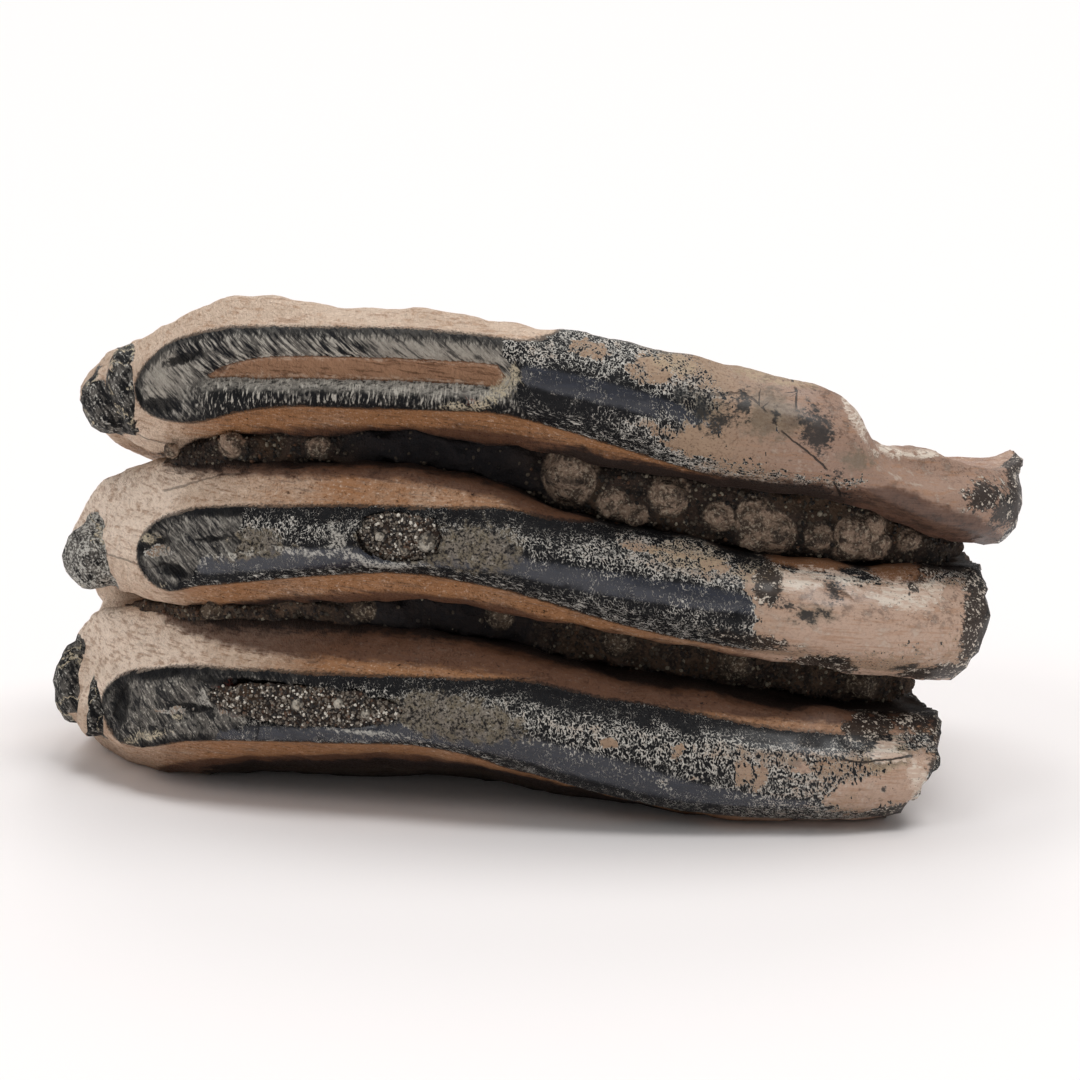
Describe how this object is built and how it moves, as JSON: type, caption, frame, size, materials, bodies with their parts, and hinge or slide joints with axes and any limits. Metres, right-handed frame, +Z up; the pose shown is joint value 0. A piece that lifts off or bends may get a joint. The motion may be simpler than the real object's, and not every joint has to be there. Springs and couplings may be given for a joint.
{
  "type": "fossil mammoth molar",
  "caption": "Broken piece of a fossil molar with stacked, arched enamel plates, worn at one end, with sediment packed in the grooves between them.",
  "frame": {"origin": "on the surface that the molar rests on, under the middle of its box", "axes": "+X along the plates to the broken end, +Y from the chewing ends to the roots, +Z up across the plates"},
  "size_m": [0.1032, 0.0528, 0.0528],
  "materials": {
    "tooth": "satin",
    "nodular_sediment": "matte",
    "dark_sediment": "matte",
    "sand": "matte"
  },
  "bodies": {
    "root": {"molar": "tooth", "upper_groove_sediment": "nodular_sediment", "lower_groove_sediment": "dark_sediment", "middle_plate_sand": "sand", "bottom_plate_sand": "sand"}
  },
  "joints": []
}
